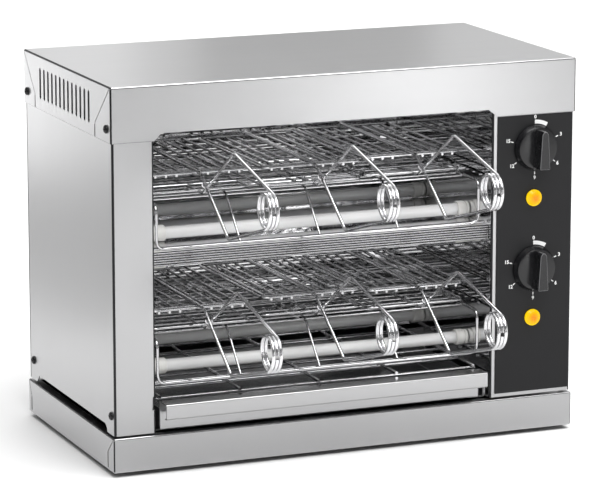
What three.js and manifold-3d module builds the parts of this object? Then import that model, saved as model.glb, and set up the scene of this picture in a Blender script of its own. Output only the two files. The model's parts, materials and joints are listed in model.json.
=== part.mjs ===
// Two-deck quartz toaster with six wire tongs, in millimetres.
// While it is being built, x = 0 is the middle of the casing, y = 0 is its front plane (the back is
// at y = DEPTH) and z = 0 is the underside of the plinth. The last step centres the bounding box.
import * as THREE from 'three';
import { mergeVertices } from 'three/addons/utils/BufferGeometryUtils.js';
import Module from 'manifold-3d';

const wasm = await Module();
wasm.setup();

// ---------------------------------------------------------------- driving dimensions
const WIDTH = 470;
const DEPTH = 252;
const HEIGHT = 361;
const SHEET = 0.9; // casing sheet thickness
const GAP = 0.3; // running gap between neighbouring parts
const SIDE = WIDTH / 2;
const INSET = 1.5; // side panels stand this far inside the cover and the plinth

const PLINTH_TOP = 33;
const COVER_HEIGHT = 52;
const COVER_BOTTOM = HEIGHT - COVER_HEIGHT;
const MOUTH_LEFT = -193; // edges of the front mouth
const MOUTH_RIGHT = 148;
const PANEL_BOTTOM = 35;
const PANEL_TOP = HEIGHT - 5;
const MOUTH_CUT = 7.2; // how far the mouth is cut up into the cover's front skirt

const CAVITY_LEFT = MOUTH_LEFT + GAP;
const CAVITY_RIGHT = MOUTH_RIGHT - GAP;
const CAVITY_BACK = 224;
const DECK_PITCH = 127;
const DECKS = { lower: 0, upper: DECK_PITCH };

// Heights inside the lower deck; the upper deck repeats them one pitch higher.
const RAIL_Z = 79;
const LOW_TUBE_Z = 84.5;
const RACK_Z = 120.2;
const LOW_SPINE_Z = 124;
const LOW_FRAME_Z = 126.2;
const HIGH_SPINE_Z = 145;
const HIGH_FRAME_Z = 142.8;
const HIGH_TUBE_Z = 185.6;
const LIP_Z = 190; // lower edge of the divider's front lip
const DIVIDER_Z = { low: 194.5, high: 203.5 };
const CEILING_Z = 321.4;
const TUBE_Y = { front: 55, rear: 158 };

const TUBE_RADIUS = 5.8;
const RACK_WIRE = 1.5; // wire radii
const TONG_WIRE = 1.6;
const FRAME_WIRE = 1.3;
const GRID_WIRE = 1.0;

// Controls, on the panel to the right of the mouth.
const DIAL_X = 192.5;
const DIAL_Z = { lower: 159.5, upper: 277 };
const LAMP_Z = { lower: 111.3, upper: 228.3 };

// Tongs: three per deck. slack is how far one was left out of its deck, lift how many degrees
// its handle was left tipped up about the far end of its jaw.
const TONG_X = [-137, -23, 85];
const TONG_REST = {
  lower: [{ slack: 4, lift: 0 }, { slack: 0, lift: 0.8 }, { slack: 0, lift: 0 }],
  upper: [{ slack: -3, lift: 0 }, { slack: 1, lift: 0 }, { slack: -11, lift: 0 }],
};
const JAW_HALF = 50;
const JAW_FRONT = 35;
const JAW_BACK = 208;
const COIL = { y: -139.6, z: 137.8, radius: 16.1 };
const UPPER_BEND = { y: -57.8, z: 176.4 };
const LOWER_BEND = { y: -45.8, z: 94.9 };
const CROSSING = { y: 8, z: 136.5 };
// How far each half keeps to its own side of the tong's middle.
const SPREAD = { coil: 4.3, bend: 0.6, spine: 2.6 };

// ---------------------------------------------------------------- looks
const steel = new THREE.MeshStandardMaterial({ color: 0xb9babb, metalness: 1, roughness: 0.35 });
const bright = new THREE.MeshStandardMaterial({ color: 0xd2d3d4, metalness: 1, roughness: 0.12 });
const chrome = new THREE.MeshStandardMaterial({ color: 0xdcdcdc, metalness: 1, roughness: 0.08 });
const quartz = new THREE.MeshStandardMaterial({ color: 0xe4e2dc, metalness: 0, roughness: 0.25 });
const ceramic = new THREE.MeshStandardMaterial({ color: 0xefece4, metalness: 0, roughness: 0.6 });
const black = new THREE.MeshStandardMaterial({ color: 0x1b1b1c, metalness: 0, roughness: 0.5 });
const overlay = new THREE.MeshStandardMaterial({ color: 0x2e2e30, metalness: 0, roughness: 0.55 });
const rubber = new THREE.MeshStandardMaterial({ color: 0x151515, metalness: 0, roughness: 0.85 });
const amber = new THREE.MeshStandardMaterial({ color: 0xf2a516, metalness: 0, roughness: 0.25 });
const casing = new THREE.MeshStandardMaterial({ color: 0xd8d4c8, metalness: 0, roughness: 0.5 });

const toaster = new THREE.Group();
toaster.name = 'two_deck_tong_toaster';

function place(name, geometry, material) {
  const mesh = new THREE.Mesh(geometry, material);
  mesh.name = name;
  toaster.add(mesh);
}

// ---------------------------------------------------------------- solid helpers
function toSolid(geometry) {
  const bare = geometry.index ? geometry.toNonIndexed() : geometry.clone();
  bare.deleteAttribute('normal');
  bare.deleteAttribute('uv');
  const welded = mergeVertices(bare, 1e-4);
  return new wasm.Manifold(new wasm.Mesh({
    numProp: 3,
    vertProperties: new Float32Array(welded.attributes.position.array),
    triVerts: new Uint32Array(welded.index.array),
  }));
}

function toGeometry(solid) {
  const mesh = solid.getMesh();
  const geometry = new THREE.BufferGeometry();
  geometry.setAttribute('position', new THREE.BufferAttribute(new Float32Array(mesh.vertProperties), 3));
  geometry.setIndex(new THREE.BufferAttribute(new Uint32Array(mesh.triVerts), 1));
  geometry.computeVertexNormals();
  return geometry;
}

function join(solids) {
  return solids.reduce((sum, next) => sum.add(next));
}

function cut(solid, tools) {
  return tools.reduce((left, tool) => left.subtract(tool), solid);
}

function box(x0, x1, y0, y1, z0, z1) {
  const geometry = new THREE.BoxGeometry(x1 - x0, y1 - y0, z1 - z0);
  geometry.translate((x0 + x1) / 2, (y0 + y1) / 2, (z0 + z1) / 2);
  return toSolid(geometry);
}

// A round bar along y, from y0 to y1.
function barY(x, z, radius, y0, y1, sides = 16) {
  const geometry = new THREE.CylinderGeometry(radius, radius, y1 - y0, sides);
  geometry.translate(x, (y0 + y1) / 2, z);
  return toSolid(geometry);
}

// A round bar along x, from x0 to x1.
function barX(y, z, radius, x0, x1, sides = 8) {
  const geometry = new THREE.CylinderGeometry(radius, radius, x1 - x0, sides);
  geometry.rotateZ(-Math.PI / 2);
  geometry.translate((x0 + x1) / 2, y, z);
  return toSolid(geometry);
}

// A turned solid: profile is a list of [radius, height] from axis to axis, turned about +z.
function turned(profile, sides) {
  return new THREE.LatheGeometry(profile.map(([r, h]) => new THREE.Vector2(r, h)), sides)
    .rotateX(Math.PI / 2);
}

// A flat outline of [a, b] points pushed out by a thickness along the third axis.
function prism(outline, thickness) {
  const shape = new THREE.Shape(outline.map(([a, b]) => new THREE.Vector2(a, b)));
  return new THREE.ExtrudeGeometry(shape, { depth: thickness, bevelEnabled: false });
}

// An outline drawn in x and z, pushed from y0 to y1.
function prismY(outline, y0, y1) {
  return toSolid(prism(outline, y1 - y0).rotateX(Math.PI / 2).translate(0, y1, 0));
}

// An outline drawn in y and z, pushed from x0 to x1.
function prismX(outline, x0, x1) {
  return toSolid(prism(outline, x1 - x0).rotateX(Math.PI / 2).rotateZ(Math.PI / 2).translate(x0, 0, 0));
}

// A path through given points, with one extrusion step per point.
class PointPath extends THREE.Curve {
  constructor(points) {
    super();
    this.points = points;
  }

  getPointAt(u) {
    return this.points[Math.round(u * (this.points.length - 1))].clone();
  }

  getTangentAt(u) {
    const last = this.points.length - 1;
    const i = Math.round(u * last);
    const before = this.points[Math.max(i - 1, 0)];
    const here = this.points[i];
    const after = this.points[Math.min(i + 1, last)];
    const inward = here.clone().sub(before).normalize();
    const outward = after.clone().sub(here).normalize();
    return inward.add(outward).normalize();
  }

  getSpacedPoints(divisions) {
    return Array.from({ length: divisions + 1 }, (_, i) => this.getPointAt(i / divisions));
  }
}

// Replaces each sharp corner of a polyline with a short arc of the given size.
function rounded(corners, bend, steps = 2) {
  const path = [corners[0]];
  for (let i = 1; i < corners.length - 1; i += 1) {
    const corner = corners[i];
    const start = corner.clone().add(corners[i - 1].clone().sub(corner).setLength(bend));
    const end = corner.clone().add(corners[i + 1].clone().sub(corner).setLength(bend));
    const arc = new THREE.QuadraticBezierCurve3(start, corner, end);
    path.push(...arc.getPoints(steps));
  }
  path.push(corners[corners.length - 1]);
  return path;
}

// A round wire along a list of points.
function wire(points, radius, sides = 5) {
  const ring = [];
  for (let i = 0; i < sides; i += 1) {
    const angle = (2 * Math.PI * i) / sides;
    ring.push(new THREE.Vector2(radius * Math.cos(angle), radius * Math.sin(angle)));
  }
  const geometry = new THREE.ExtrudeGeometry(new THREE.Shape(ring), {
    steps: points.length - 1,
    extrudePath: new PointPath(points),
    bevelEnabled: false,
  });
  return toSolid(geometry);
}

function at(x, y, z) {
  return new THREE.Vector3(x, y, z);
}

// ---------------------------------------------------------------- casing
const SCREWS = [
  { name: 'cover_front', y: 11.4, z: 321.3, throughCover: true },
  { name: 'cover_rear', y: 240.9, z: 321.3, throughCover: true },
  { name: 'base_front', y: 9.8, z: 53.1, throughCover: false },
  { name: 'base_rear', y: 238.2, z: 54.5, throughCover: false },
];
const SHANK = 1.7;
const FEET = { x: SIDE - 34, front: 34, rear: DEPTH - 34, stem: 3 };
const GLAND = { x: 190, z: 92, neck: 8.6 };

function plinth() {
  const flange = 9;
  const stemHole = (x, y) => toSolid(
    new THREE.CylinderGeometry(FEET.stem + GAP, FEET.stem + GAP, 6, 12).rotateX(Math.PI / 2).translate(x, y, 0),
  );
  const holes = [-FEET.x, FEET.x].flatMap((x) => [FEET.front, FEET.rear].map((y) => stemHole(x, y)));
  return toGeometry(cut(box(-SIDE, SIDE, 0, DEPTH, 0, PLINTH_TOP), [
    box(-SIDE + SHEET, SIDE - SHEET, SHEET, DEPTH - SHEET, SHEET, PLINTH_TOP - SHEET),
    box(-SIDE + flange, SIDE - flange, flange, DEPTH - flange, PLINTH_TOP / 2, PLINTH_TOP + 1),
    ...holes,
  ]));
}

function foot(x, y) {
  const profile = [
    [0, -4], [11, -4], [13, -2.6], [13, -GAP], [FEET.stem, -GAP], [FEET.stem, 5.2], [0, 6],
  ];
  return turned(profile, 16).translate(x, y, 0);
}

function ventSlots(side) {
  const slots = [];
  const count = 13;
  const width = 4.4;
  const height = 30;
  const first = 59.5;
  const pitch = 11.8;
  const lowEnd = 319.8;
  for (let i = 0; i < count; i += 1) {
    const y = first + i * pitch;
    const outline = [];
    for (const [end, turn] of [[lowEnd + height - width / 2, 0], [lowEnd + width / 2, Math.PI]]) {
      for (let k = 0; k <= 3; k += 1) {
        const angle = turn + (Math.PI * k) / 3;
        outline.push([y + (width / 2) * Math.cos(angle), end + (width / 2) * Math.sin(angle)]);
      }
    }
    slots.push(prismX(outline, side * SIDE - 3, side * SIDE + 3));
  }
  return slots;
}

function screwHoles(side, list) {
  return list.map(({ y, z }) => {
    const middle = side * (SIDE - 2);
    return barX(y, z, SHANK + GAP, middle - 4, middle + 4);
  });
}

function cover() {
  const chamfer = 8;
  const mouth = prismY([
    [MOUTH_LEFT - GAP, COVER_BOTTOM - 1],
    [MOUTH_RIGHT + chamfer - 3, COVER_BOTTOM - 1],
    [MOUTH_RIGHT + chamfer - 4, COVER_BOTTOM],
    [MOUTH_RIGHT - 4, COVER_BOTTOM + MOUTH_CUT],
    [MOUTH_LEFT - GAP + chamfer, COVER_BOTTOM + MOUTH_CUT],
    [MOUTH_LEFT - GAP, COVER_BOTTOM],
  ], -1, SHEET + 1);
  const onCover = SCREWS.filter((screw) => screw.throughCover);
  return toGeometry(cut(box(-SIDE, SIDE, 0, DEPTH, COVER_BOTTOM, HEIGHT), [
    box(-SIDE + SHEET, SIDE - SHEET, SHEET, DEPTH - SHEET, COVER_BOTTOM - 1, HEIGHT - SHEET),
    mouth,
    ...[-1, 1].flatMap((side) => [...ventSlots(side), ...screwHoles(side, onCover)]),
  ]));
}

// One side wall with its front column and its rear flange, bent from a single sheet.
// side is -1 for the left and 1 for the right; inner is the column's edge at the mouth.
function sidePanel(side, inner, extraCuts) {
  const outer = side * (SIDE - INSET);
  const skin = side * SHEET;
  const front = INSET;
  const back = DEPTH - INSET - SHEET - GAP;
  const fold = 12;
  const outline = [
    [outer, front], [outer, back], [outer - side * fold, back], [outer - side * fold, back - SHEET],
    [outer - skin, back - SHEET], [outer - skin, front + SHEET], [inner + skin, front + SHEET],
    [inner + skin, front + fold], [inner, front + fold], [inner, front],
  ];
  const blank = toSolid(
    prism(side < 0 ? outline.reverse() : outline, PANEL_TOP - PANEL_BOTTOM).translate(0, 0, PANEL_BOTTOM),
  );
  const airGap = [[22, PANEL_BOTTOM - 1], [230, PANEL_BOTTOM - 1], [222, 42], [30, 42]];
  return toGeometry(cut(blank, [
    prismX(airGap, outer - 3, outer + 3),
    ...screwHoles(side, SCREWS),
    ...extraCuts,
  ]));
}

function leftPanel() {
  const latchNotch = box(MOUTH_LEFT - 3.5, MOUTH_LEFT + 1, 0, 9, 56.6, 69.6);
  return sidePanel(-1, MOUTH_LEFT, [latchNotch]);
}

function rightPanel() {
  const holes = Object.keys(DECKS).flatMap((deck) => [
    barY(DIAL_X, DIAL_Z[deck], 5.4, -2, 6),
    barY(DIAL_X - 1, LAMP_Z[deck], 6.2, -2, 6),
  ]);
  return sidePanel(1, MOUTH_RIGHT, holes);
}

function rearPanel() {
  const reach = SIDE - INSET - GAP;
  const back = DEPTH - SHEET - GAP;
  return toGeometry(cut(box(-reach, reach, back - SHEET, back, PANEL_BOTTOM, PANEL_TOP), [
    barY(GLAND.x, GLAND.z, GLAND.neck + GAP, back - 4, back + 4, 20),
  ]));
}

function gland() {
  const back = DEPTH - SHEET - GAP;
  const body = join([
    barY(GLAND.x, GLAND.z, GLAND.neck, back - 8, back + 9, 20),
    barY(GLAND.x, GLAND.z, 12.5, back + GAP, back + 5, 6),
    barY(GLAND.x, GLAND.z, 12, back - SHEET - GAP - 5, back - SHEET - GAP, 6),
  ]);
  return toGeometry(cut(body, [barY(GLAND.x, GLAND.z, 4.6, back - 12, back + 14, 16)]));
}

function terminalBlock() {
  const back = DEPTH - 2 * SHEET - 2 * GAP;
  return toGeometry(cut(box(150, 176, back - 16, back, 84, 132), [0, 1, 2, 3].map(
    (i) => barY(163, 91 + i * 11, 2.6, back - 20, back - 6, 8),
  )));
}

function screw(side, { y, z, throughCover }) {
  const face = SIDE - (throughCover ? 0 : INSET);
  const profile = [
    [0, -6], [SHANK, -6], [SHANK, GAP / 2], [4, GAP / 2], [3.6, 2.1], [0, 2.5],
  ];
  return turned(profile, 8).rotateY((side * Math.PI) / 2).translate(side * face, y, z);
}

// ---------------------------------------------------------------- inside of the casing
function innerWall(side, face) {
  const away = side * SHEET;
  const wall = box(...[face, face + away].sort((a, b) => a - b), 14, CAVITY_BACK + 2.2, 1.6, CEILING_Z - GAP);
  const shelf = box(...[face, face + side * 12].sort((a, b) => a - b), 60, 190, 1.6, 2.8);
  return toGeometry(wall.add(shelf));
}

function backWall() {
  return toGeometry(box(CAVITY_LEFT, CAVITY_RIGHT, CAVITY_BACK + 1, CAVITY_BACK + 2.2, 36, CEILING_Z - GAP));
}

function ceiling() {
  const front = 3;
  return toGeometry(join([
    box(CAVITY_LEFT, CAVITY_RIGHT, front, CAVITY_BACK, CEILING_Z, CEILING_Z + SHEET),
    box(CAVITY_LEFT, CAVITY_RIGHT, front, front + SHEET, CEILING_Z - 4, CEILING_Z + 12),
  ]));
}

// The shelf between the decks: a flat folded sleeve, bright side up and bright side down, whose
// front edge is turned down as a lip.
function divider() {
  const { low, high } = DIVIDER_Z;
  const front = 8;
  const sleeve = cut(box(CAVITY_LEFT, CAVITY_RIGHT, front, CAVITY_BACK, low, high), [
    box(CAVITY_LEFT - 1, CAVITY_RIGHT + 1, front + SHEET, CAVITY_BACK - SHEET, low + SHEET, high - SHEET),
  ]);
  return toGeometry(sleeve.add(box(CAVITY_LEFT, CAVITY_RIGHT, front, front + SHEET, LIP_Z, low + 1)));
}

function trayRunner(side, face) {
  const inward = -side;
  const foot0 = face + inward * GAP;
  const edge = face + inward * 11;
  return toGeometry(join([
    box(...[foot0, edge].sort((a, b) => a - b), 14, 218, 33.4, 34.6),
    box(...[foot0, foot0 + inward * SHEET].sort((a, b) => a - b), 14, 218, 33.4, 45),
  ]));
}

// A heating element: a quartz tube with a ceramic cap at each end.
function element(y, z) {
  const cap = 9;
  const length = CAVITY_RIGHT - CAVITY_LEFT - 2 * GAP;
  const profile = [
    [0, 0], [7.6, 0], [7.6, cap], [TUBE_RADIUS, cap],
    [TUBE_RADIUS, length - cap], [7.6, length - cap], [7.6, length], [0, length],
  ];
  return turned(profile, 10).rotateY(Math.PI / 2).translate(CAVITY_LEFT + GAP, y, z);
}

// Wire rack that carries a deck's tongs, with a guard sloping down in front of the tubes.
function tongRack(lift) {
  const left = -188;
  const right = 138;
  const frontY = 10;
  const backY = 214;
  const top = RACK_Z + lift;
  const low = RAIL_Z + lift;
  const under = top - 2 * RACK_WIRE + 0.6;
  const frame = rounded([
    at(left, backY, top), at(left, frontY, top), at(left, frontY, low),
    at(right, frontY, low), at(right, frontY, top), at(right, backY, top),
  ], 9);
  const parts = [wire(frame, RACK_WIRE)];
  parts.push(barX(frontY + 2.4, low, RACK_WIRE, left - 3, right + 8, 5));
  for (const x of [-105, -25, 55]) {
    const guard = rounded([at(x, frontY + 1, low + 1.4), at(x, 48, top), at(x, backY, top)], 8);
    parts.push(wire(guard, RACK_WIRE));
  }
  const crossCount = 6;
  for (let i = 0; i < crossCount; i += 1) {
    const y = 50 + (i * (backY - 3 - 50)) / (crossCount - 1);
    parts.push(barX(y, under, RACK_WIRE, left - 1, right + 1, 4));
  }
  return toGeometry(join(parts));
}

// Sparse wire grid over the crumb tray, below the lower tubes.
function trayGuard() {
  const z = 66;
  const wires = [-185, -105, -25, 55, 135].map((x) => wire([at(x, 12, z), at(x, 214, z)], RACK_WIRE));
  for (const y of [15, 55, 95, 135, 175, 211]) {
    wires.push(barX(y, z - 2 * RACK_WIRE + 0.6, RACK_WIRE, -190, 145, 5));
  }
  return toGeometry(join(wires));
}

function crumbTray() {
  const left = -187;
  const right = 140;
  const front = 8;
  const back = 214;
  const wall = 1;
  const low = 35;
  const lipTop = 63.5;
  const reach = -11;
  return toGeometry(join([
    cut(box(left, right, front, back, low, 56), [
      box(left + wall, right - wall, front + wall, back - wall, low + wall, 57),
    ]),
    box(left, right, front, front + wall, 55, lipTop),
    box(left, right, reach, front + wall, lipTop - wall, lipTop),
    box(left, right, reach, reach + wall, lipTop - 14, lipTop),
  ]));
}

// ---------------------------------------------------------------- controls
function controlOverlay() {
  const holes = Object.keys(DECKS).flatMap((deck) => [
    barY(DIAL_X, DIAL_Z[deck], 5.4, -2, 3),
    barY(DIAL_X - 1, LAMP_Z[deck], 6.2, -2, 3),
  ]);
  return toGeometry(cut(box(153.4, 231, 0.4, 1.2, 38.5, COVER_BOTTOM - 0.5), holes));
}

function timer(z) {
  const back = INSET + SHEET + GAP;
  const body = join([
    box(DIAL_X - 19, DIAL_X + 19, back, back + 30, z - 21, z + 21),
    barY(DIAL_X, z, 5, 1, back + 1),
  ]);
  return toGeometry(cut(body, [barY(DIAL_X, z, 3.3, -1, 16, 24)]));
}

function timerShaft(z) {
  return toGeometry(barY(DIAL_X, z, 3, -6.8, 15, 24));
}

// Knob with a tapered skirt and a tall grip, narrow where it points and wide at its heel.
function knob(z) {
  const faceY = -7.5;
  const gripY = -22.5;
  const reach = 18.3;
  const skirt = turned([[0, 0], [22, 0], [22, 2], [19.3, -faceY], [0, -faceY]], 32)
    .rotateX(Math.PI / 2)
    .translate(DIAL_X, 0, z);
  const grip = prismY([
    [DIAL_X - 5.2, z - reach], [DIAL_X + 5.2, z - reach],
    [DIAL_X + 2.4, z + reach], [DIAL_X - 2.4, z + reach],
  ], gripY, faceY + 1);
  return toGeometry(cut(toSolid(skirt).add(grip), [barY(DIAL_X, z, 3.3, -7.1, 2, 16)]));
}

function lamp(z) {
  const profile = [[0, -16], [5.6, -16], [5.6, 0.1], [8, 0.1], [8, 2.4], [6.2, 4.2], [0, 5]];
  return turned(profile, 20).rotateX(Math.PI / 2).translate(DIAL_X - 1, 0, z);
}

// ---------------------------------------------------------------- tongs
// Angle, seen along the coil, at which a straight arm from a bend meets the coil.
function tangentAngle(bend, above) {
  const reach = Math.hypot(bend.y - COIL.y, bend.z - COIL.z);
  const toBend = Math.atan2(bend.z - COIL.z, bend.y - COIL.y);
  return toBend + (above ? 1 : -1) * Math.acos(COIL.radius / reach);
}

// Half of the spring coil: a bit over one turn, winding from the middle out to where its arm leaves.
function coilTurns(x, bend, above) {
  const hand = above ? 1 : -1;
  const arm = tangentAngle(bend, above);
  const middle = hand * 2.97 * Math.PI;
  const steps = 11;
  const points = [];
  for (let i = 0; i <= steps; i += 1) {
    const angle = middle + ((arm - middle) * i) / steps;
    const across = x + (hand * SPREAD.coil * i) / steps;
    points.push(at(across, COIL.y + COIL.radius * Math.cos(angle), COIL.z + COIL.radius * Math.sin(angle)));
  }
  return points;
}

// Coil half, crossing arm and the spine down the middle of a jaw, in one length of wire.
function armPath(x, above, spineZ) {
  const hand = above ? 1 : -1;
  const bend = above ? UPPER_BEND : LOWER_BEND;
  const slope = (CROSSING.z - bend.z) / (CROSSING.y - bend.y);
  const spineY = CROSSING.y + (spineZ - CROSSING.z) / slope;
  const corners = [
    at(x + hand * SPREAD.bend, bend.y, bend.z),
    at(x + hand * SPREAD.spine, spineY, spineZ),
    at(x, JAW_BACK, spineZ),
  ];
  const coil = coilTurns(x, bend, above);
  return [...coil.slice(0, -1), ...rounded([coil[coil.length - 1], ...corners], 4)];
}

function jawFrame(x, z) {
  return [-1, 1].map((side) => wire(rounded([
    at(x - side * 0.4, JAW_FRONT, z), at(x + side * JAW_HALF, JAW_FRONT, z),
    at(x + side * JAW_HALF, JAW_BACK - 2, z), at(x - side * 0.4, JAW_BACK - 2, z),
  ], 6, 2), FRAME_WIRE, 5));
}

// The half whose arm bends up at the handle and carries the lower jaw, with cross wires.
function lowerJawHalf(x) {
  const parts = [wire(armPath(x, true, LOW_SPINE_Z), TONG_WIRE), ...jawFrame(x, LOW_FRAME_Z)];
  const count = 6;
  for (let i = 0; i < count; i += 1) {
    const y = JAW_FRONT + ((JAW_BACK - 2 - JAW_FRONT) * (i + 1)) / (count + 1);
    parts.push(barX(y, LOW_FRAME_Z + 1.7, GRID_WIRE, x - JAW_HALF - 0.5, x + JAW_HALF + 0.5, 4));
  }
  return join(parts);
}

// The half whose arm bends down at the handle and carries the upper jaw, with long wires.
function upperJawHalf(x) {
  const parts = [wire(armPath(x, false, HIGH_SPINE_Z), TONG_WIRE), ...jawFrame(x, HIGH_FRAME_Z)];
  for (const offset of [-33.4, -16.7, 16.7, 33.4]) {
    const z = HIGH_FRAME_Z - 1.7;
    parts.push(wire([at(x + offset, JAW_FRONT - 1, z), at(x + offset, JAW_BACK - 1, z)], GRID_WIRE, 4));
  }
  return join(parts);
}

// Tips a tong about the far end of its jaw, then shifts it to its deck.
function settle(solid, { slack, lift }, deckLift) {
  const pivot = at(0, JAW_BACK, LOW_SPINE_Z);
  return toGeometry(solid)
    .translate(0, -pivot.y, -pivot.z)
    .rotateX(-THREE.MathUtils.degToRad(lift))
    .translate(0, pivot.y - slack, pivot.z + deckLift);
}

// ---------------------------------------------------------------- assembly
place('base_plinth', plinth(), steel);
for (const [sideName, x] of [['left', -FEET.x], ['right', FEET.x]]) {
  place(`foot_front_${sideName}`, foot(x, FEET.front), rubber);
  place(`foot_rear_${sideName}`, foot(x, FEET.rear), rubber);
}
place('left_side_panel', leftPanel(), steel);
place('right_side_panel', rightPanel(), steel);
place('rear_panel', rearPanel(), steel);
place('top_cover', cover(), steel);
for (const [sideName, side] of [['left', -1], ['right', 1]]) {
  for (const item of SCREWS) {
    place(`screw_${sideName}_${item.name}`, screw(side, item), black);
  }
}
place('cable_gland', gland(), black);
place('terminal_block', terminalBlock(), casing);

place('left_inner_wall', innerWall(-1, MOUTH_LEFT), bright);
place('right_inner_wall', innerWall(1, MOUTH_RIGHT), bright);
place('inner_back_wall', backWall(), bright);
place('ceiling_reflector', ceiling(), bright);
place('deck_divider', divider(), bright);
place('tray_runner_left', trayRunner(-1, MOUTH_LEFT), steel);
place('tray_runner_right', trayRunner(1, MOUTH_RIGHT), steel);
place('crumb_tray', crumbTray(), steel);
place('tray_guard_grid', trayGuard(), chrome);

place('control_overlay', controlOverlay(), overlay);
for (const [deck, lift] of Object.entries(DECKS)) {
  place(`timer_${deck}`, timer(DIAL_Z[deck]), casing);
  place(`timer_shaft_${deck}`, timerShaft(DIAL_Z[deck]), steel);
  place(`timer_knob_${deck}`, knob(DIAL_Z[deck]), black);
  place(`pilot_lamp_${deck}`, lamp(LAMP_Z[deck]), amber);
  for (const [row, y] of Object.entries(TUBE_Y)) {
    place(`element_${deck}_bottom_${row}`, element(y, LOW_TUBE_Z + lift), quartz);
    place(`element_${deck}_top_${row}`, element(y, HIGH_TUBE_Z + lift), quartz);
  }
  place(`tong_rack_${deck}`, tongRack(lift), chrome);
  TONG_X.forEach((x, i) => {
    const rest = TONG_REST[deck][i];
    place(`tong_${deck}_${i + 1}_lower_jaw`, settle(lowerJawHalf(x), rest, lift), chrome);
    place(`tong_${deck}_${i + 1}_upper_jaw`, settle(upperJawHalf(x), rest, lift), chrome);
  });
}

// Stand the assembly on z = 0 with the middle of its bounding box on the z axis.
const bounds = new THREE.Box3().setFromObject(toaster);
const middle = bounds.getCenter(new THREE.Vector3());
for (const mesh of toaster.children) {
  mesh.geometry.translate(-middle.x, -middle.y, -bounds.min.z);
}

export default toaster;
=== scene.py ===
import json
import math

import bmesh
import bpy
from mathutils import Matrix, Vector


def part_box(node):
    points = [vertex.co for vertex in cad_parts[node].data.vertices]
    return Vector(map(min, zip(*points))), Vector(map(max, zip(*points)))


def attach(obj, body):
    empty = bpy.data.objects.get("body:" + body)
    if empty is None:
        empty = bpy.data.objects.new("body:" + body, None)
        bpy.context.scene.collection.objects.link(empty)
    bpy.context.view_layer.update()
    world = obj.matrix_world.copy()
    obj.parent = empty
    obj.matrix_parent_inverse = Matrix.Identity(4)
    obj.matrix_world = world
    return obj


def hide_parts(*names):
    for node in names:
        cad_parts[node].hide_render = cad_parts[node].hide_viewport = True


# Two-deck quartz toaster with six wire tongs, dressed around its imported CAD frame.
# Shapes are drawn in the casing's own millimetres (x = 0 middle, y = 0 front plane, z = 0 plinth
# underside) and put in the frame by at().

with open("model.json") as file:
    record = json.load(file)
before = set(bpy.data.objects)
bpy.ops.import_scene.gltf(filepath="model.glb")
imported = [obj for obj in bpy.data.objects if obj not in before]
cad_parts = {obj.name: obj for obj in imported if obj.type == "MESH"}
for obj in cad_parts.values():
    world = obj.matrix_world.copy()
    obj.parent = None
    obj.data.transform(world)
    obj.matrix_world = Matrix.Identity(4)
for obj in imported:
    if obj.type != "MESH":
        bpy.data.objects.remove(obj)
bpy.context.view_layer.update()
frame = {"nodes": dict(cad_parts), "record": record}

MM = 0.001
COVER_LOW, COVER_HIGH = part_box("top_cover")
HEIGHT = 361
ORIGIN = Vector((
    (COVER_LOW.x + COVER_HIGH.x) / 2,
    COVER_LOW.y,
    COVER_HIGH.z - HEIGHT * MM,
))

# ------------------------ dimensions, in millimetres
SIDE = 235
DEPTH = 252
SHEET = 0.9
GAP = 0.3  # play between neighbouring sheets
INSET = 1.5  # how far the side panels stand behind the faces of cover and plinth
COVER_BOTTOM = 309
PLINTH_TOP = 33
PANEL_BOTTOM = 35
PANEL_TOP = HEIGHT - 5
MOUTH_LEFT = -193
MOUTH_RIGHT = 148
CAVITY_LEFT = MOUTH_LEFT + GAP
CAVITY_RIGHT = MOUTH_RIGHT - GAP
CAVITY_BACK = 224
COVER_CUT_LEFT, COVER_CUT_RIGHT, COVER_CUT = MOUTH_LEFT - GAP, MOUTH_RIGHT + 4.6, 7.2
REAR_FACE = DEPTH - SHEET - GAP
BEND = 2.0  # outer radius of a fold in the casing sheet

DECKS = {"lower": 0, "upper": 127}
RAIL_Z = 79
LOW_TUBE_Z = 84.5
RACK_Z = 120.2
LOW_SPINE_Z = 124
LOW_FRAME_Z = 126.2
HIGH_SPINE_Z = 145
HIGH_FRAME_Z = 142.8
HIGH_TUBE_Z = 185.6
DIVIDER_LOW, DIVIDER_HIGH, LIP_Z = 194.5, 203.5, 190
TUBE_Y = {"front": 55, "rear": 158}
TUBE_RADIUS = 5.8
RACK_LEFT, RACK_RIGHT, RACK_BACK = -188, 138, 214
RACK_BARS_X = (-105, -25, 55)
RACK_WIRE = 1.5
TONG_WIRE = 1.6
FRAME_WIRE = 1.3
GRID_WIRE = 1.0

DIAL_X = 192.5
DIAL_Z = {"lower": 159.5, "upper": 277}
LAMP_Z = {"lower": 111.3, "upper": 228.3}

TONG_X = (-137, -23, 85)
# How far each tong was left out of its deck, and how many degrees its handle is tipped up.
TONG_REST = {
    "lower": ((4, 0), (0, 0.8), (0, 0)),
    "upper": ((-3, 0), (1, 0), (-11, 0)),
}
JAW_HALF = 50
JAW_FRONT = 35
JAW_BACK = 208
COIL_Y, COIL_Z, COIL_RADIUS, COIL_TURNS = -139.6, 137.8, 16.1, 2.97
UPPER_BEND = (-57.8, 176.4)
LOWER_BEND = (-45.8, 94.9)
CROSSING = (8, 136.5)
# How far each half of a tong keeps to its own side of the middle.
SPREAD_COIL, SPREAD_BEND, SPREAD_SPINE = 4.3, 0.6, 2.6

SCREWS = {
    "cover_front": (11.4, 321.3, 0),
    "cover_rear": (240.9, 321.3, 0),
    "base_front": (9.8, 53.1, INSET),
    "base_rear": (238.2, 54.5, INSET),
}


# ------------------------ places
def at(x, y, z):
    """A point in casing millimetres as a place in the frame."""
    return ORIGIN + Vector((x, y, z)) * MM


# ------------------------ camera
CAMERA_PLACE = (-1260.3, -2933.7, 870)
CAMERA_YAW, CAMERA_PITCH = 22.425, 11.938  # degrees to the right and down
CAMERA_LENS = 209.15


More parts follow.
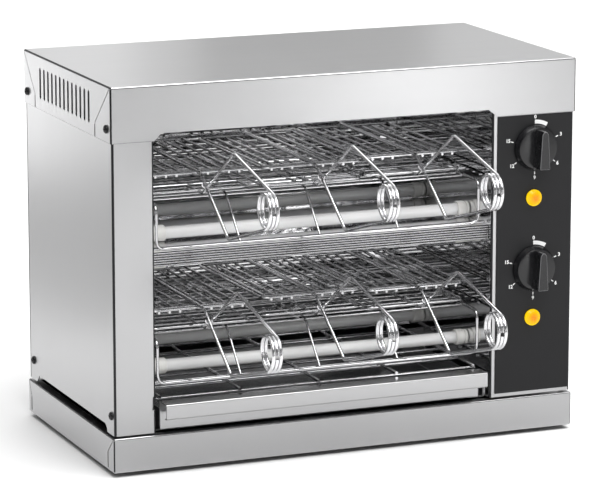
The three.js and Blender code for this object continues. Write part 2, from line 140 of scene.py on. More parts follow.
def add_camera():
    """The photograph's view: from the left front, looking 12 degrees down."""
    camera = bpy.data.cameras.new("camera")
    camera.lens = CAMERA_LENS
    camera.sensor_width = 36
    camera.clip_end = 50
    holder = bpy.data.objects.new("camera", camera)
    bpy.context.scene.collection.objects.link(holder)
    yaw, pitch = math.radians(CAMERA_YAW), math.radians(CAMERA_PITCH)
    look = Vector((
        math.sin(yaw) * math.cos(pitch),
        math.cos(yaw) * math.cos(pitch),
        -math.sin(pitch),
    ))
    holder.location = at(*CAMERA_PLACE)
    holder.rotation_mode = "QUATERNION"
    holder.rotation_quaternion = look.to_track_quat("-Z", "Y")
    bpy.context.scene.camera = holder


add_camera()


# ------------------------ materials
class Look:
    """A Principled material with short ways to add procedural detail."""

    def __init__(self, name, colour, roughness, metallic=0.0, **fixed):
        self.material = bpy.data.materials.new(name)
        self.material.use_nodes = True
        self.tree = self.material.node_tree
        self.bsdf = self.tree.nodes["Principled BSDF"]
        self.colour = colour
        self.roughness = roughness
        self.set("Base Color", (*colour, 1))
        self.set("Roughness", roughness)
        self.set("Metallic", metallic)
        for socket, value in fixed.items():
            self.set(socket.replace("_", " "), value)

    def set(self, socket, value):
        self.bsdf.inputs[socket].default_value = value

    def node(self, kind, **settings):
        made = self.tree.nodes.new(kind)
        for key, value in settings.items():
            setattr(made, key, value)
        return made

    def link(self, source, target):
        self.tree.links.new(source, target)

    def noise(self, stretch, detail=3.0, rough=0.5, seed=0.0):
        """Noise in object space; stretch is how often it repeats per metre along x, y and z."""
        place = self.node("ShaderNodeTexCoord")
        mapping = self.node("ShaderNodeMapping")
        mapping.inputs["Scale"].default_value = stretch
        mapping.inputs["Location"].default_value = (seed, seed * 0.7, seed * 1.3)
        texture = self.node("ShaderNodeTexNoise")
        texture.inputs["Scale"].default_value = 1
        texture.inputs["Detail"].default_value = detail
        texture.inputs["Roughness"].default_value = rough
        self.link(place.outputs["Object"], mapping.inputs["Vector"])
        self.link(mapping.outputs["Vector"], texture.inputs["Vector"])
        return texture.outputs["Fac"]

    def remap(self, source, low, high, from_low=0.3, from_high=0.7):
        made = self.node("ShaderNodeMapRange")
        made.inputs["From Min"].default_value = from_low
        made.inputs["From Max"].default_value = from_high
        made.inputs["To Min"].default_value = low
        made.inputs["To Max"].default_value = high
        self.link(source, made.inputs["Value"])
        return made.outputs["Result"]

    def blend(self, first, second, share=0.5):
        made = self.node("ShaderNodeMix", data_type="FLOAT")
        made.inputs["Factor"].default_value = share
        self.link(first, made.inputs[2])
        self.link(second, made.inputs[3])
        return made.outputs[0]

    def vary_colour(self, source, dark, light):
        """Colour runs between dark and light times the look's own colour."""
        made = self.node("ShaderNodeMix", data_type="RGBA")
        made.inputs[6].default_value = (*[c * dark for c in self.colour], 1)
        made.inputs[7].default_value = (*[min(1, c * light) for c in self.colour], 1)
        self.link(self.remap(source, 0, 1), made.inputs["Factor"])
        self.link(made.outputs[2], self.bsdf.inputs["Base Color"])

    def vary_roughness(self, source, spread):
        made = self.remap(source, max(0.02, self.roughness - spread), self.roughness + spread)
        self.link(made, self.bsdf.inputs["Roughness"])

    def bump(self, source, height, strength=1.0):
        """Raises the surface by up to height millimetres."""
        made = self.node("ShaderNodeBump")
        made.inputs["Strength"].default_value = strength
        made.inputs["Distance"].default_value = height * MM
        self.link(source, made.inputs["Height"])
        self.link(made.outputs["Normal"], self.bsdf.inputs["Normal"])


def sheet_steel(name, colour, roughness, grain):
    """Satin sheet: rolling lines along one axis in its gloss, wide soft smudges in its colour."""
    look = Look(name, colour, roughness, metallic=1.0)
    lines = look.noise(grain, detail=1)
    smudge = look.noise((5, 5, 5), detail=0, seed=3)
    look.vary_colour(smudge, 0.985, 1.015)
    look.vary_roughness(lines, 0.006)
    return look.material


def mirror_steel():
    """Bright annealed sheet inside the oven: almost a mirror, with faint waves and heat haze."""
    look = Look("bright_annealed_steel", (0.84, 0.84, 0.85), 0.05, metallic=1.0)
    wave = look.noise((7, 7, 7), detail=1, seed=2)
    haze = look.noise((30, 30, 30), detail=4, rough=0.6, seed=5)
    look.vary_colour(haze, 0.9, 1.03)
    look.vary_roughness(haze, 0.03)
    look.bump(wave, 0.6, 0.4)
    return look.material


def chrome_wire(name, shade, roughness):
    """Bright plated wire; the racks take a darker copy than the tongs."""
    look = Look(name, (shade, shade, shade * 1.015), roughness, metallic=1.0)
    pits = look.noise((420, 420, 420), detail=3, seed=4)
    tint = look.noise((40, 40, 40), detail=2, seed=1)
    look.vary_colour(tint, 0.95, 1.03)
    look.vary_roughness(tint, 0.03)
    look.bump(pits, 0.015, 0.5)
    return look.material


def milky_quartz():
    """Frosted tube, drawn along its length, that glows softly from within."""
    look = Look("milky_quartz", (0.92, 0.92, 0.91), 0.22, Coat_Weight=0.5, Coat_Roughness=0.1,
                Subsurface_Weight=1.0, Subsurface_Scale=0.012)
    look.set("Subsurface Radius", (1, 1, 1))
    drawn = look.noise((6, 300, 300), detail=3, seed=6)
    cloud = look.noise((14, 30, 30), detail=2, seed=8)
    look.vary_colour(look.blend(drawn, cloud, 0.6), 0.9, 1.06)
    look.vary_roughness(drawn, 0.06)
    look.bump(drawn, 0.03, 0.5)
    return look.material


def ceramic():
    """Matt off-white caps, a little stained by the heat."""
    look = Look("steatite_ceramic", (0.86, 0.85, 0.82), 0.55)
    grain = look.noise((900, 900, 900), detail=4, rough=0.7)
    stain = look.noise((60, 60, 60), detail=2, seed=2)
    look.vary_colour(stain, 0.85, 1.08)
    look.vary_roughness(grain, 0.12)
    look.bump(grain, 0.06)
    return look.material


def moulding(name, colour, roughness, grain_size, height, **fixed):
    """Moulded or painted surface with a fine even texture."""
    look = Look(name, colour, roughness, **fixed)
    scale = 1000 / grain_size
    grain = look.noise((scale, scale, scale), detail=3, rough=0.6)
    patch = look.noise((35, 35, 35), detail=2, seed=9)
    look.vary_colour(look.blend(grain, patch, 0.5), 0.86, 1.14)
    look.vary_roughness(look.blend(grain, patch, 0.4), 0.08)
    look.bump(grain, height)
    return look.material


def amber_lens():
    """Amber plastic over its lamp, with a painted glow: it emits orange in the middle and yellow
    towards the rim.
    """
    look = Look("amber_lens", (0.5, 0.2, 0.0), 0.25, Specular_IOR_Level=0.3)
    place = look.node("ShaderNodeTexCoord")
    flatten = look.node("ShaderNodeVectorMath", operation="MULTIPLY_ADD")
    flatten.inputs[1].default_value = (1, 0, 1)
    flatten.inputs[2].default_value = (-0.5, 0, -0.5)
    out = look.node("ShaderNodeVectorMath", operation="LENGTH")
    mix = look.node("ShaderNodeMix", data_type="RGBA")
    mix.inputs[6].default_value = (0.7, 0.13, 0.0, 1)
    mix.inputs[7].default_value = (1.0, 0.8, 0.0, 1)
    look.link(place.outputs["Generated"], flatten.inputs[0])
    look.link(flatten.outputs["Vector"], out.inputs[0])
    look.link(look.remap(out.outputs["Value"], 0, 1, 0.1, 0.45), mix.inputs["Factor"])
    # Painted glow: the lens gives off this colour by itself.
    look.link(mix.outputs[2], look.bsdf.inputs["Emission Color"])
    look.set("Emission Strength", 0.6)
    ripple = look.noise((500, 500, 500), detail=2)
    look.vary_roughness(ripple, 0.05)
    look.bump(ripple, 0.05, 0.4)
    return look.material


LINES_X = (2, 110, 110)
LINES_Y = (110, 2, 110)
LINES_Z = (110, 110, 2)
STEEL = sheet_steel("satin_steel_casing", (0.48, 0.48, 0.485), 0.28, LINES_Z)
STEEL_LONG = sheet_steel("satin_steel_lengthwise", (0.48, 0.48, 0.485), 0.28, LINES_X)
STEEL_DEEP = sheet_steel("satin_steel_depthwise", (0.44, 0.44, 0.445), 0.3, LINES_Y)
# Near-black copy of the casing steel: painted shade on folds, groove floors and hollow insides.
PAINTED_SHADE_STEEL = sheet_steel("satin_steel_painted_shade", (0.035, 0.035, 0.037), 0.3, LINES_X)
# Darker copy of the casing steel: painted shade on the divider's ribs, along the cover's foot and
# on the tray's upward faces.
HALF_SHADE_STEEL = sheet_steel("satin_steel_painted_half_shade", (0.32, 0.32, 0.325), 0.2, LINES_X)
MIRROR = mirror_steel()
CHROME = chrome_wire("chromed_wire", 0.78, 0.13)
# A darker copy of the chrome, for the racks, the tray guard and the tong parts inside the oven.
CHROME_DARKER = chrome_wire("chromed_wire_darker", 0.52, 0.09)
QUARTZ = milky_quartz()
CERAMIC = ceramic()
KNOB_BLACK = moulding("black_phenolic", (0.007, 0.007, 0.008), 0.24, 0.5, 0.008)
# Lighter copy of the black phenolic: painted highlight on the knob's bevelled edges.
KNOB_PAINTED_HIGHLIGHT = moulding("black_phenolic_painted_highlight", (0.16, 0.16, 0.165), 0.3, 0.5, 0.004)
OVERLAY = moulding(
    "dark_grey_overlay", (0.012, 0.012, 0.013), 0.5, 0.4, 0.006, Specular_IOR_Level=0.25)
PRINT = moulding("white_print", (0.82, 0.82, 0.82), 0.5, 0.3, 0.004)
BLACK_METAL = moulding("blackened_screw", (0.012, 0.012, 0.013), 0.24, 0.6, 0.01, metallic=0.4)
RUBBER = moulding("black_rubber", (0.014, 0.014, 0.014), 0.8, 0.8, 0.05)
IVORY = moulding("ivory_moulding", (0.62, 0.58, 0.48), 0.45, 0.7, 0.02)
LENS_PAINTED_GLOW = amber_lens()

BY_SLOT = {
    "satin_steel": STEEL,
    "bright_steel": MIRROR,
    "chromed_wire": CHROME,
    "quartz_tube": QUARTZ,
    "black_knob": KNOB_BLACK,
    "panel_overlay": OVERLAY,
    "amber_lens": LENS_PAINTED_GLOW,
    "black_screw": BLACK_METAL,
    "rubber_foot": RUBBER,
    "moulded_body": IVORY,
    "steel_shaft": STEEL_DEEP,
}


# ------------------------ mesh building
class Shape:
    """Vertices in casing millimetres and the faces between them."""

    def __init__(self):
        self.points = []
        self.faces = []

    def add(self, points, faces):
        base = len(self.points)
        self.points.extend(Vector(p) for p in points)
        self.faces.extend([base + i for i in face] for face in faces)
        return self

    def tube(self, path, radius, sides=10):
        """A round wire along a path, closed at both ends."""
        path = [Vector(p) for p in path]
        last = len(path) - 1
        points, faces = [], []
        across = None
        for i, here in enumerate(path):
            ahead, behind = path[min(i + 1, last)] - here, here - path[max(i - 1, 0)]
            along = (ahead.normalized() + behind.normalized()).normalized()
            if across is None:
                across = along.orthogonal().normalized()
            across = (across - along * across.dot(along)).normalized()
            up = along.cross(across)
            for k in range(sides):
                turn = 2 * math.pi * k / sides
                points.append(here + (across * math.cos(turn) + up * math.sin(turn)) * radius)
        for i in range(last):
            for k in range(sides):
                a, b = i * sides + k, i * sides + (k + 1) % sides
                faces.append((a, b, b + sides, a + sides))
        faces.append(tuple(reversed(range(sides))))
        faces.append(tuple(last * sides + k for k in range(sides)))
        return self.add(points, faces)

    def prism(self, outline, axis, low, high):
        """An outline pushed along an axis; its two coordinates are the other two axes in order."""
        count = len(outline)
        points = []
        for level in (low, high):
            for a, b in outline:
                points.append({"x": (level, a, b), "y": (a, level, b), "z": (a, b, level)}[axis])
        faces = [(k, (k + 1) % count, (k + 1) % count + count, k + count) for k in range(count)]
        faces.append(tuple(reversed(range(count))))
        faces.append(tuple(range(count, 2 * count)))
        return self.add(points, faces)

    def box(self, x0, x1, y0, y1, z0, z1):
        return self.prism([(x0, y0), (x1, y0), (x1, y1), (x0, y1)], "z", z0, z1)

    def turned(self, profile, axis, centre, sides=32):
        """A profile of (radius, distance) pairs turned about an axis through centre."""
        x, y, z = Vector((1, 0, 0)), Vector((0, 1, 0)), Vector((0, 0, 1))
        directions = {
            "x": (x, y, z), "-x": (-x, y, z), "y": (y, z, x), "-y": (-y, z, x), "z": (z, x, y),
        }
        along, first, second = directions[axis]
        centre = Vector(centre)
        rings, points, faces = [], [], []
        for radius, distance in profile:
            if radius == 0:
                rings.append([len(points)])
                points.append(centre + along * distance)
                continue
            rings.append(list(range(len(points), len(points) + sides)))
            for k in range(sides):
                turn = 2 * math.pi * k / sides
                out = first * math.cos(turn) + second * math.sin(turn)
                points.append(centre + along * distance + out * radius)
        for low, high in zip(rings, rings[1:]):
            for k in range(sides):
                n = (k + 1) % sides
                if len(low) == 1:
                    faces.append((low[0], high[n], high[k]))
                elif len(high) == 1:
                    faces.append((low[k], low[n], high[0]))
                else:
                    faces.append((low[k], low[n], high[n], high[k]))
        return self.add(points, faces)


def to_mesh(shape, name):
    """A mesh in the frame, its faces turned outwards."""
    mesh = bpy.data.meshes.new(name)
    mesh.from_pydata([at(*p) for p in shape.points], [], shape.faces)
    work = bmesh.new()
    work.from_mesh(mesh)
    bmesh.ops.recalc_face_normals(work, faces=work.faces)
    work.to_mesh(mesh)
    work.free()
    return mesh


def add_object(name, data):
    """Puts an object with the given mesh or curve in the scene."""
    made = bpy.data.objects.new(name, data)
    bpy.context.scene.collection.objects.link(made)
    return made


def dress(made, material, smooth_angle):
    """One material all over, smooth across gentle edges and crisp across sharp ones."""
    made.data.materials.clear()
    made.data.materials.append(material)
    made.data.polygons.foreach_set("use_smooth", [True] * len(made.data.polygons))
    made.data.set_sharp_from_angle(angle=math.radians(smooth_angle))


def soften(made, width):
    """Rounds sharp edges a little."""
    bevel = made.modifiers.new("edge", "BEVEL")
    bevel.width = width * MM
    bevel.segments = 2
    bevel.limit_method = "ANGLE"
    bevel.angle_limit = math.radians(50)
    bevel.use_clamp_overlap = True


def flat_shading(made):
    """Keeps flat faces shaded flat beside rounded edges."""
    normals = made.modifiers.new("normals", "WEIGHTED_NORMAL")
    normals.keep_sharp = True
    normals.weight = 90


def piece(name, source, material, body, replaces=(), edge=0.0, smooth_angle=38):
    """Turns a Shape or a mesh into a piece of the toaster that moves with a CAD body."""
    mesh = to_mesh(source, name) if isinstance(source, Shape) else source
    made = add_object(name, mesh)
    dress(made, material, smooth_angle)
    if edge:
        soften(made, edge)
    flat_shading(made)
    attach(made, body)
    if replaces:
        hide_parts(*replaces)
    return made


def shade_folds(made, top=None):
    """Paints shade: a near-black steel on tight folds and, given a hollow box's top, on what is
    inside its skin.
    """
    made.data.materials.append(PAINTED_SHADE_STEEL)
    skin = 0.62  # faces deeper than this, in millimetres, are inside
    for face in made.data.polygons:
        x, y, z = face.normal
        upright = abs(z) < 0.1 and min(abs(x), abs(y)) > 0.15
        side_top = z > 0.15 and abs(x) > 0.15
        front_top = 0.15 < z < 0.6 and abs(y) > 0.15
        inside = False
        if top is not None:
            place = (face.center - ORIGIN) / MM
            inside = min(SIDE - abs(place.x), place.y, DEPTH - place.y, top - place.z) > skin
        # These faces take the painted shade.
        if upright or side_top or front_top or inside:
            face.material_index = 1


def carve(mesh, *cutters):
    """Cuts each Shape out of a mesh in turn and returns the new mesh."""
    target = add_object("carving", mesh)
    for cutter in cutters:
        tool = add_object("cutter", to_mesh(cutter, "cutter"))
        step = target.modifiers.new("cut", "BOOLEAN")
        step.operation = "DIFFERENCE"
        step.solver = "EXACT"
        step.object = tool
        bpy.context.view_layer.update()
        graph = bpy.context.evaluated_depsgraph_get()
        result = bpy.data.meshes.new_from_object(target.evaluated_get(graph))
        target.modifiers.clear()
        target.data = result
        bpy.data.objects.remove(tool)
    bpy.data.objects.remove(target)
    return result


def rounded_block(low, high, radius, top=False, bottom=False, segments=6):
    """A box whose upright edges, and if asked its top and bottom edges, are rounded."""
    shape = Shape().box(low[0], high[0], low[1], high[1], low[2], high[2])
    mesh = to_mesh(shape, "block")
    work = bmesh.new()
    work.from_mesh(mesh)
    middle = at(0, 0, (low[2] + high[2]) / 2).z
    chosen = []
    for edge in work.edges:
        a, b = sorted(v.co.z for v in edge.verts)
        if a < middle < b or (top and a > middle) or (bottom and b < middle):
            chosen.append(edge)
    bmesh.ops.bevel(
        work, geom=chosen, offset=radius * MM, segments=segments, profile=0.5, affect="EDGES")
    work.to_mesh(mesh)
    work.free()
    return mesh


def mesh_to_shape(mesh):
    """The Shape of a mesh that already lies in the frame."""
    points = [(v.co - ORIGIN) / MM for v in mesh.vertices]
    return Shape().add(points, [tuple(face.vertices) for face in mesh.polygons])


def fillet(corners, radius, steps=5):
    """A 2D polyline with each inner corner turned into a circular arc."""
    corners = [Vector(c) for c in corners]
    path = [corners[0]]
    for before, corner, after in zip(corners, corners[1:], corners[2:]):
        back, ahead = (before - corner).normalized(), (after - corner).normalized()
        half = back.angle(ahead) / 2
        reach = radius / math.tan(half)
        centre = corner + (back + ahead).normalized() * (radius / math.sin(half))
        first, last = corner + back * reach - centre, corner + ahead * reach - centre
        sweep = first.angle_signed(last)
        for k in range(steps + 1):
            turn = -sweep * k / steps
            c, s = math.cos(turn), math.sin(turn)
            path.append(centre + Vector((first.x * c - first.y * s, first.x * s + first.y * c)))
    path.append(corners[-1])
    return path


def folded_strip(corners, thickness, radius):
    """The closed outline of a sheet folded along corners, which follow its middle."""
    path = fillet(corners, radius)
    sides = ([], [])
    for i, here in enumerate(path):
        ahead = path[min(i + 1, len(path) - 1)] - here
        back = here - path[max(i - 1, 0)]
        along = (ahead.normalized() + back.normalized()).normalized()
        across = Vector((-along.y, along.x)) * thickness / 2
        sides[0].append(here + across)
        sides[1].append(here - across)
    return [tuple(p) for p in sides[0] + sides[1][::-1]]


def rounded(corners, bend, steps=5):
    """A 3D polyline whose corners are turned into short arcs of the given size."""
    corners = [Vector(c) for c in corners]
    path = [corners[0]]
    for before, corner, after in zip(corners, corners[1:], corners[2:]):
        start = corner + (before - corner).normalized() * bend
        end = corner + (after - corner).normalized() * bend
        for k in range(steps + 1):
            t = k / steps
            path.append(start * (1 - t) ** 2 + corner * 2 * t * (1 - t) + end * t * t)
    path.append(corners[-1])
    return path


# ------------------------ casing
def side_groove(side):
    """How far along x the cutters for a groove in a side face reach."""
    return sorted((side * (SIDE - 0.75), side * (SIDE + 1)))


def side_seams(routes):
    """Cutters for the thin joint lines where two folded skirts meet on the side faces."""
    shape = Shape()
    for side in (-1, 1):
        for corners in routes:
            shape.prism(folded_strip(corners, 0.9, 0.6), "x", *side_groove(side))
    return shape


def upright_reliefs(places, low, high):
    """Cutters for the wider foot of each seam, where the skirts are notched for the fold."""
    shape = Shape()
    for side in (-1, 1):
        for y in places:
            shape.box(*side_groove(side), y - 1.1, y + 1.1, low, high)
    return shape


def vent_slots(side, shape):
    """Adds the cutters for one side's upright slots to shape."""
    count, width, height = 13, 4.8, 30
    first, pitch, low = 59.5, 11.8, 319.8
    for i in range(count):
        y = first + i * pitch
        outline = []
        for end, start in ((low + height - width / 2, 0), (low + width / 2, math.pi)):
            for k in range(7):
                turn = start + math.pi * k / 6
                outline.append((y + width / 2 * math.cos(turn), end + width / 2 * math.sin(turn)))
        shape.prism(outline, "x", side * SIDE - 3, side * SIDE + 3)


def screw_holes(side, shape, names):
    """Adds the cutters for one side's named screws to shape."""
    for name in names:
        y, z, inset = SCREWS[name]
        shape.turned([(0, -4), (2, -4), (2, 3), (0, 3)], "x", (side * (SIDE - inset), y, z), 16)


def add_cover():
    """The folded lid: one rounded skin with its seams, vents, screw holes and mouth edge."""
    outer = rounded_block((-SIDE, 0, COVER_BOTTOM), (SIDE, DEPTH, HEIGHT), BEND, top=True)
    inner = rounded_block(
        (-SIDE + SHEET, SHEET, COVER_BOTTOM - 2), (SIDE - SHEET, DEPTH - SHEET, HEIGHT - SHEET),
        BEND - SHEET, top=True)
    left, right, low, high = COVER_CUT_LEFT, COVER_CUT_RIGHT, COVER_BOTTOM, COVER_BOTTOM + COVER_CUT
    left_slope, right_slope = 7.4, 9.2
    cuts = Shape().prism([
        (left, low - 1), (right, low - 1), (right, low), (right - right_slope, high),
        (left + left_slope, high), (left, low),
    ], "y", -1, SHEET + 2)
    for side in (-1, 1):
        vent_slots(side, cuts)
        screw_holes(side, cuts, ("cover_front", "cover_rear"))
    seams = side_seams((
        [(2.2, 359.4), (42.3, 323), (43.2, 307)],
        [(249.6, 359.4), (217.5, 322.5), (217.5, 307)],
    ))
    reliefs = upright_reliefs((43, 217.5), 307, 321)
    mesh = carve(outer, mesh_to_shape(inner), cuts, seams, reliefs)
    made = piece(
        "cover", mesh, STEEL_LONG, "chassis", ["top_cover"], smooth_angle=30)
    shade_folds(made, HEIGHT)


def add_shadow_line():
    """A thin darker band along the foot of the cover, a hair proud of its faces: painted shadow
    under the cover's edge.
    """
    proud, tall = 0.06, 0.6
    shape = Shape()
    low, high = COVER_BOTTOM, COVER_BOTTOM + tall
    for side in (-1, 1):
        width = sorted((side * (SIDE - SHEET / 2), side * (SIDE + proud)))
        shape.box(*width, BEND, DEPTH - BEND, low, high)
    shape.box(-SIDE + BEND, COVER_CUT_LEFT - GAP, -proud, SHEET / 2, low, high)
    shape.box(COVER_CUT_RIGHT + GAP, SIDE - BEND, -proud, SHEET / 2, low, high)
    shape.box(-SIDE + BEND, SIDE - BEND, DEPTH - SHEET / 2, DEPTH + proud, low, high)
    piece("cover_shadow_line", shape, HALF_SHADE_STEEL, "chassis")


def add_plinth():
    """The shallow pan the oven stands on, open on top within a flange."""
    flange = 9
    outer = rounded_block((-SIDE, 0, 0), (SIDE, DEPTH, PLINTH_TOP), 1.6, top=True, bottom=True)
    hollow = Shape().box(
        -SIDE + SHEET, SIDE - SHEET, SHEET, DEPTH - SHEET, SHEET, PLINTH_TOP - SHEET)
    opening = Shape().box(
        -SIDE + flange, SIDE - flange, flange, DEPTH - flange, PLINTH_TOP / 2, PLINTH_TOP + 1)
    seams = side_seams((
        [(2.4, 31.4), (16.8, 17.9), (16.8, 3)],
        [(249.4, 31.4), (243.5, 18.4), (242, 3)],
    ))
    reliefs = upright_reliefs((16.8, 242.7), 3, 17.5)
    mesh = carve(outer, hollow, opening, seams, reliefs)
    made = piece(
        "plinth", mesh, STEEL_LONG, "chassis", ["base_plinth"], smooth_angle=30)
    shade_folds(made, PLINTH_TOP)


def side_panel_blank(side, inner):
    """The folded sheet of one side: inner column return, column, wall and rear flange."""
    middle, flange = SHEET / 2, 12
    outer = side * (SIDE - INSET - middle)
    front = INSET + middle
    back = DEPTH - INSET - SHEET - GAP - middle
    column = inner + side * middle
    corners = [
        (column, front + flange), (column, front), (outer, front), (outer, back),
        (outer - side * flange, back),
    ]
    return Shape().prism(folded_strip(corners, SHEET, BEND - middle), "z", PANEL_BOTTOM, PANEL_TOP)


def air_gap(side):
    """The long notch left open along the foot of a side wall."""
    outline = [(21.5, PANEL_BOTTOM - 2)]
    steps = 8
    for k in range(steps + 1):
        turn = math.pi / 2 * k / steps
        outline.append((30 - 8 * math.cos(turn), 34 + 8 * math.sin(turn)))
    outline += [(222, 42), (231, PANEL_BOTTOM - 2)]
    face = side * (SIDE - INSET)
    return Shape().prism(outline, "x", face - 3, face + 3)


def polish_return(made, x):
    """The column's return into the mouth is as bright as the walls inside the oven."""
    made.data.materials.append(MIRROR)
    for face in made.data.polygons:
        place = (face.center - ORIGIN) / MM
        if abs(face.normal.x) > 0.9 and abs(place.x - x) < 0.2:
            face.material_index = 2


def control_holes(shape):
    """Cutters for the timer shafts and the lamps in the control column."""
    for deck in DECKS:
        for x, z, radius in ((DIAL_X, DIAL_Z[deck], 5.4), (DIAL_X - 1, LAMP_Z[deck], 6.2)):
            shape.turned([(0, -3), (radius, -3), (radius, 5), (0, 5)], "y", (x, 0, z), 24)


def add_side_panels():
    """Both side walls with their columns; the right column also carries the timers and lamps."""
    for name, side, mouth in (("left", -1, MOUTH_LEFT), ("right", 1, MOUTH_RIGHT)):
        cuts = air_gap(side)
        vent_slots(side, cuts)
        screw_holes(side, cuts, SCREWS)
        if side < 0:
            cuts.box(MOUTH_LEFT - 3.5, MOUTH_LEFT + 1, 0, 9, 56.6, 69.6)
        else:
            control_holes(cuts)
        mesh = carve(to_mesh(side_panel_blank(side, mouth), name), cuts)
        made = piece(f"{name}_panel", mesh, STEEL, "chassis",
                     [f"{name}_side_panel"], smooth_angle=30)
        shade_folds(made)
        polish_return(made, mouth)


def screw_head(axis, centre, radius=4.0):
    """A pan head with a crossed recess."""
    head = Shape().turned([
        (0, -3), (1.7, -3), (1.7, 0.15), (radius, 0.15), (radius, 0.7), (radius * 0.94, 1.3),
        (radius * 0.8, 1.9), (radius * 0.55, 2.3), (radius * 0.25, 2.45), (0, 2.5),
    ], axis, centre, 28)
    x, y, z = centre
    face = x if "x" in axis else y
    flip = -1 if axis.startswith("-") else 1
    deep = sorted((face + flip * 1.3, face + flip * 3.2))
    cross = []
    for wide, tall in ((0.55, 2.1), (2.1, 0.55)):
        plan = (*deep, y - wide, y + wide) if "x" in axis else (x - wide, x + wide, *deep)
        cross.append(Shape().box(*plan, z - tall, z + tall))
    return carve(to_mesh(head, "screw"), *cross)


def add_screws():
    """Four screws on each side and six along the rear panel's top and bottom."""
    for side_name, side, axis in (("left", -1, "-x"), ("right", 1, "x")):
        for name, (y, z, inset) in SCREWS.items():
            mesh = screw_head(axis, (side * (SIDE - inset), y, z))
            node = f"screw_{side_name}_{name}"
            piece(f"head_{side_name}_{name}", mesh, BLACK_METAL, "chassis", [node])
    for x in (-215, 0, 215):
        for level, z in (("low", 48), ("high", 300)):
            mesh = screw_head("y", (x, REAR_FACE, z), 3.2)
            piece(f"rear_screw_{level}_{x + 215}", mesh, BLACK_METAL, "chassis")


def add_feet():
    """Four turned rubber pads under the plinth."""
    profile = [
        (0, -4), (10.4, -4), (11.4, -3.8), (12.6, -2.9), (13, -2.2), (13, -0.3), (3, -0.3),
        (3, 5.2), (0, 6),
    ]
    inward = 34
    for side_name, x in (("left", -SIDE + inward), ("right", SIDE - inward)):
        for end, y in (("front", inward), ("rear", DEPTH - inward)):
            shape = Shape().turned(profile, "z", (x, y, 0), 36)
            node = f"foot_{end}_{side_name}"
            piece(f"pad_{end}_{side_name}", shape, RUBBER, "chassis", [node])


def add_gland():
    """Cable gland in the rear panel: flange, six-sided nut and a domed cap with an open bore."""
    x, z, nut = 190, 92, 8.4
    shape = Shape().turned([
        (4.6, 11), (4.9, 11.6), (7.0, 11.4), (8.2, 10.4), (8.6, 9), (8.6, 5.2), (11.8, 5.0),
        (12.4, 4.3), (12.4, 0.3), (8.6, 0.3), (8.6, -7.6), (4.6, -7.6), (4.6, 11),
    ], "y", (x, REAR_FACE, z), 36)
    for k in range(6):
        turn = math.pi / 3 * k
        shape.turned([(0, 5.1), (1.6, 5.1), (1.6, 8.4), (1.1, 8.8), (0, 8.8)], "y",
                     (x + nut * math.cos(turn), REAR_FACE, z + nut * math.sin(turn)), 12)
    piece("gland_body", shape, KNOB_BLACK, "chassis", ["cable_gland"])


# ------------------------ inside of the oven
def add_divider():
    """The shelf between the decks; its front edge has round ribs with grooves between them, painted
    with shade: darker steel on the ribs, near-black on the groove floors.
    """
    front, rib, pitch, groove = 8.0, 0.8, 2.25, 1.9
    outline = [(front + groove, LIP_Z)]
    count = 6
    for i in range(count):
        z = LIP_Z + i * pitch
        for k in range(9):
            turn = math.pi * k / 8
            outline.append((front + rib * (1 - math.sin(turn)), z + rib * (1 - math.cos(turn))))
        outline += [(front + groove, z + 2 * rib), (front + groove, z + pitch)]
    outline += [
        (front + groove + 1, DIVIDER_HIGH), (CAVITY_BACK, DIVIDER_HIGH), (CAVITY_BACK, DIVIDER_LOW),
        (front + groove + 1, DIVIDER_LOW), (front + groove + 1, LIP_Z),
    ]
    shape = Shape().prism(outline, "x", CAVITY_LEFT, CAVITY_RIGHT)
    made = piece("divider_shelf", shape, MIRROR, "chassis", ["deck_divider"])
    made.data.materials.append(PAINTED_SHADE_STEEL)
    made.data.materials.append(HALF_SHADE_STEEL)
    # Painted shade: index 2 darkens the ribs, index 1 the floors of the grooves.
    groove_y = at(0, front + groove, 0).y
    for face in made.data.polygons:
        if face.center.y < groove_y - 1e-5:
            face.material_index = 2
        elif face.normal.y < -0.9 and face.center.y < groove_y + 1e-5:
            face.material_index = 1


def add_elements():
    """Two quartz tubes below and two above each deck, with their end caps."""
    left, right, seat = CAVITY_LEFT + GAP, CAVITY_RIGHT - GAP, 2
    for deck, lift in DECKS.items():
        for row, y in TUBE_Y.items():
            for level, z in (("bottom", LOW_TUBE_Z), ("top", HIGH_TUBE_Z)):
                centre = (0, y, z + lift)
                tube = Shape().turned([
                    (0, left + seat), (TUBE_RADIUS, left + seat),
                    (TUBE_RADIUS, right - seat), (0, right - seat),
                ], "x", centre, 40)
                node = f"element_{deck}_{level}_{row}"
                piece(f"tube_{deck}_{level}_{row}", tube, QUARTZ, "chassis", [node])
                add_caps(f"caps_{deck}_{level}_{row}", centre, left, right)


def cap_profile(length):
    """A waisted sleeve, closed towards the wall and open round its tube."""
    return [
        (0, 0), (6.6, 0), (7.2, 0.5), (7.2, 2.6), (6.4, 3.0), (6.4, 4.2), (7.4, 4.6), (7.6, 5.2),
        (7.6, length - 0.6), (7.1, length), (5.95, length), (5.95, length - 4), (0, length - 4),
    ]


def add_caps(name, centre, left, right):
    """Ceramic caps that hold a tube between the oven's walls; the wired end's is longer."""
    caps = Shape().turned(cap_profile(28), "x", (left, *centre[1:]))
    caps.turned(cap_profile(12), "-x", (right, *centre[1:]))
    piece(name, caps, CERAMIC, "chassis")


